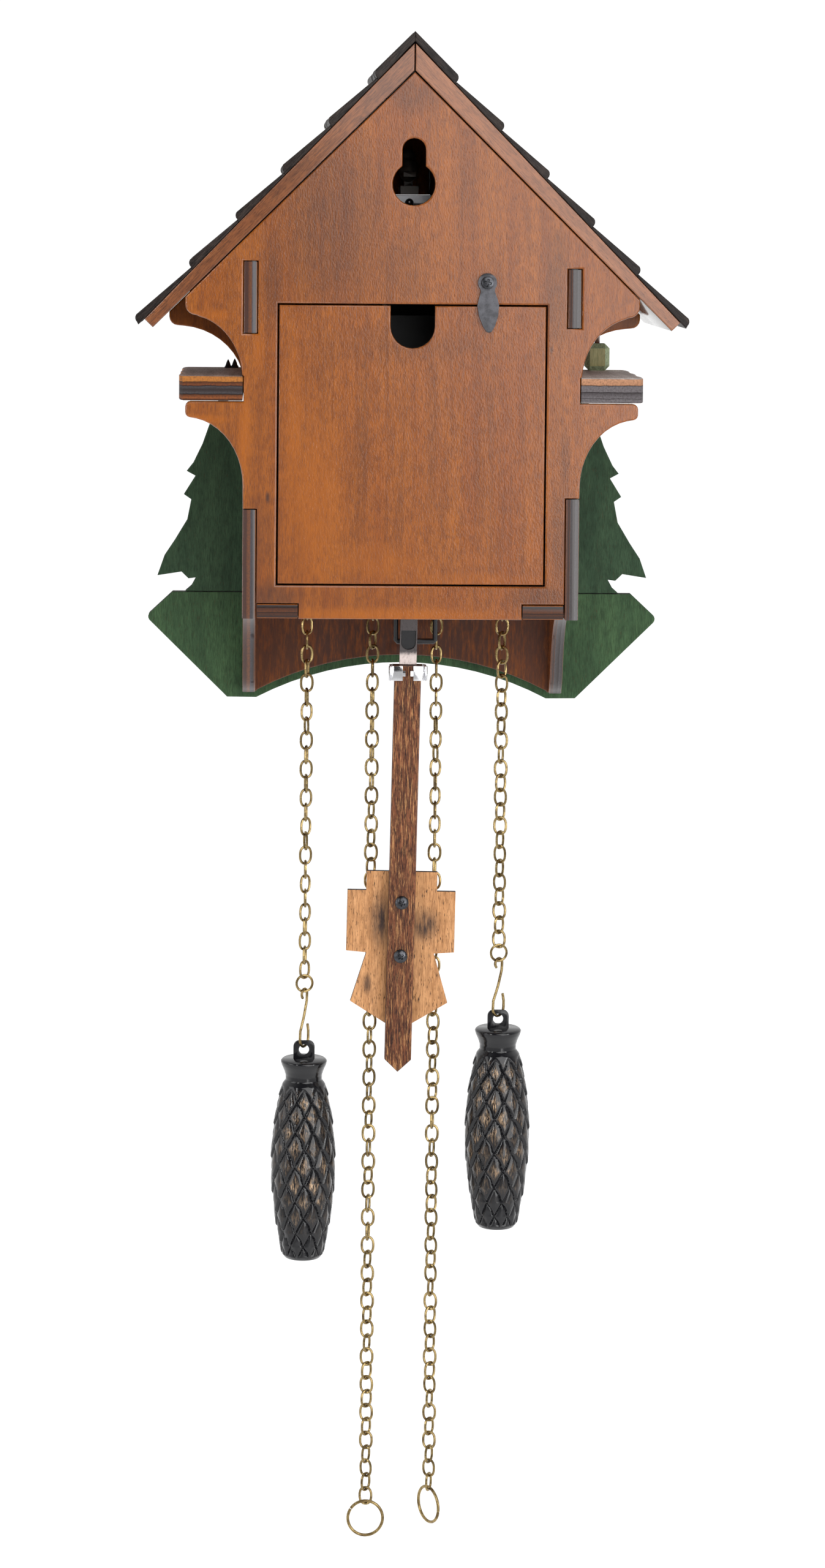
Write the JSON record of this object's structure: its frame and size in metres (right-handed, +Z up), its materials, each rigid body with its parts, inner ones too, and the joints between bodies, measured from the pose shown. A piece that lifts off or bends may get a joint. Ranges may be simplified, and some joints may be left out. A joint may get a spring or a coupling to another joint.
{
  "type": "pendulum wall clock",
  "caption": "Chalet-shaped wooden wall clock with a gabled shingle roof, a swinging leaf pendulum, cuckoo door, cone weights on chains and a rear service hatch.",
  "frame": {"origin": "top of the keyhole slot on the back panel's rear face, where the wall nail bears", "axes": "+Z up, the dial faces -Y and the rear face is the plane Y = 0, +X to the right as seen from the front"},
  "size_m": [0.2082, 0.1043, 0.5924],
  "materials": {
    "stained_wood": "spirit-stained plywood, satin",
    "shingle_wood": "dark sawn shingle, matt",
    "green_stain": "green stained wood, satin",
    "rod_wood": "reddish brown wood, open grain",
    "leaf_wood": "bare tan wood",
    "dial_wood": "dark stained wood, satin",
    "ivory_plastic": "ivory plastic",
    "bird_paint": "painted wood",
    "battery_jacket": "printed steel jacket, plain",
    "black_plastic": "glossy black moulding",
    "grey_plastic": "glossy light grey moulding",
    "blackened_steel": "blackened steel",
    "steel": "bright steel",
    "chrome": "chromed spring steel",
    "antique_brass": "antique brass, worn"
  },
  "bodies": {
    "case": {"back_panel": "stained_wood", "front_board": "stained_wood", "bottom_board": "stained_wood", "hatch": "stained_wood", "latch_screw": "blackened_steel", "base_board": "green_stain", "dial": "dial_wood", "movement_case": "grey_plastic", "battery_1": "battery_jacket", "battery_2": "battery_jacket", "speaker": "black_plastic", "pendulum_guard": "black_plastic", "side_board_left": "stained_wood", "roof_board_left": "stained_wood", "shelf_left": "stained_wood", "tree_left": "green_stain", "weight_chain_hook_left": "antique_brass", "pull_chain_hook_left": "antique_brass", "side_board_right": "stained_wood", "roof_board_right": "stained_wood", "shelf_right": "stained_wood", "tree_right": "green_stain", "weight_chain_hook_right": "antique_brass", "pull_chain_hook_right": "antique_brass", "shingle_left_1": "shingle_wood", "shingle_left_2": "shingle_wood", "shingle_left_3": "shingle_wood", "shingle_left_4": "shingle_wood", "shingle_left_5": "shingle_wood", "shingle_left_6": "shingle_wood", "shingle_right_1": "shingle_wood", "shingle_right_2": "shingle_wood", "shingle_right_3": "shingle_wood", "shingle_right_4": "shingle_wood", "shingle_right_5": "shingle_wood", "shingle_right_6": "shingle_wood"},
    "latch": {"latch": "blackened_steel"},
    "pendulum": {"pendulum_hanger": "black_plastic", "pendulum_strip": "steel", "pendulum_clip": "chrome", "pendulum_rod": "rod_wood", "pendulum_leaf": "leaf_wood", "leaf_screw_upper": "steel", "leaf_screw_lower": "steel"},
    "minute_hand": {"minute_hand": "ivory_plastic"},
    "hour_hand": {"hour_hand": "ivory_plastic"},
    "set_knob": {"set_knob": "grey_plastic"},
    "cuckoo": {"cuckoo": "bird_paint"},
    "cuckoo_door": {"cuckoo_door": "stained_wood"},
    "mode_switch": {"mode_switch": "grey_plastic"},
    "weight_chain_left": {"weight_chain_left": "antique_brass"},
    "weight_left": {"s_hook_left": "antique_brass", "weight_left": "black_plastic"},
    "pull_chain_left": {"pull_chain_left": "antique_brass"},
    "pull_ring_left": {"pull_ring_left": "antique_brass"},
    "weight_chain_right": {"weight_chain_right": "antique_brass"},
    "weight_right": {"s_hook_right": "antique_brass", "weight_right": "black_plastic"},
    "pull_chain_right": {"pull_chain_right": "antique_brass"},
    "pull_ring_right": {"pull_ring_right": "antique_brass"}
  },
  "joints": [
    {"name": "latch_turn", "type": "hinge", "parent": "case", "child": "latch", "pos_m": [-0.0279, 0.0009, -0.054], "axis": [0, 1, 0], "range_deg": [-100, 100]},
    {"name": "pendulum_swing", "type": "hinge", "parent": "case", "child": "pendulum", "pos_m": [-0.0022, -0.042, -0.122], "axis": [0, 1, 0], "range_deg": [-5, 5]},
    {"name": "minute_hand_turn", "type": "hinge", "parent": "case", "child": "minute_hand", "pos_m": [0, -0.0853, -0.088], "axis": [0, 1, 0], "continuous": true},
    {"name": "hour_hand_turn", "type": "hinge", "parent": "case", "child": "hour_hand", "pos_m": [0, -0.084, -0.088], "axis": [0, 1, 0], "continuous": true},
    {"name": "set_knob_turn", "type": "hinge", "parent": "case", "child": "set_knob", "pos_m": [0, -0.044, -0.088], "axis": [0, 1, 0], "continuous": true},
    {"name": "cuckoo_slide", "type": "slide", "parent": "case", "child": "cuckoo", "axis": [0, -1, 0], "range_m": [0, 0.022]},
    {"name": "cuckoo_door_open", "type": "hinge", "parent": "case", "child": "cuckoo_door", "pos_m": [0.0092, -0.0797, -0.0035], "axis": [0, 0, 1], "range_deg": [0, 80]},
    {"name": "mode_switch_slide", "type": "slide", "parent": "case", "child": "mode_switch", "axis": [1, 0, 0], "range_m": [0, 0.004]},
    {"name": "weight_chain_swing_left", "type": "hinge", "parent": "case", "child": "weight_chain_left", "pos_m": [-0.0382, -0.05, -0.1881], "axis": [-1, 0, 0], "range_deg": [0, 25]},
    {"name": "weight_swing_left", "type": "hinge", "parent": "weight_chain_left", "child": "weight_left", "pos_m": [-0.0382, -0.05, -0.3204], "axis": [-1, 0, 0], "range_deg": [-2, 20]},
    {"name": "pull_chain_swing_left", "type": "hinge", "parent": "case", "child": "pull_chain_left", "pos_m": [-0.0125, -0.05, -0.1881], "axis": [-1, 0, 0], "range_deg": [0, 25]},
    {"name": "pull_ring_swing_left", "type": "hinge", "parent": "pull_chain_left", "child": "pull_ring_left", "pos_m": [-0.0125, -0.05, -0.5328], "axis": [-0.5299, 0.848, 0], "range_deg": [-45, 45]},
    {"name": "weight_chain_swing_right", "type": "hinge", "parent": "case", "child": "weight_chain_right", "pos_m": [0.0382, -0.05, -0.1881], "axis": [-1, 0, 0], "range_deg": [0, 25]},
    {"name": "weight_swing_right", "type": "hinge", "parent": "weight_chain_right", "child": "weight_right", "pos_m": [0.0382, -0.05, -0.3328], "axis": [-1, 0, 0], "range_deg": [-2, 20]},
    {"name": "pull_chain_swing_right", "type": "hinge", "parent": "case", "child": "pull_chain_right", "pos_m": [0.0125, -0.05, -0.1881], "axis": [-1, 0, 0], "range_deg": [0, 25]},
    {"name": "pull_ring_swing_right", "type": "hinge", "parent": "pull_chain_right", "child": "pull_ring_right", "pos_m": [0.0125, -0.05, -0.5384], "axis": [-1, 0, 0], "range_deg": [-45, 45]}
  ],
  "couplings": [
    {"joint": "hour_hand_turn", "follows": "minute_hand_turn", "ratio": 0.083333},
    {"joint": "set_knob_turn", "follows": "minute_hand_turn", "ratio": 1},
    {"joint": "cuckoo_door_open", "follows": "cuckoo_slide", "rad_per_m": 63.4}
  ]
}
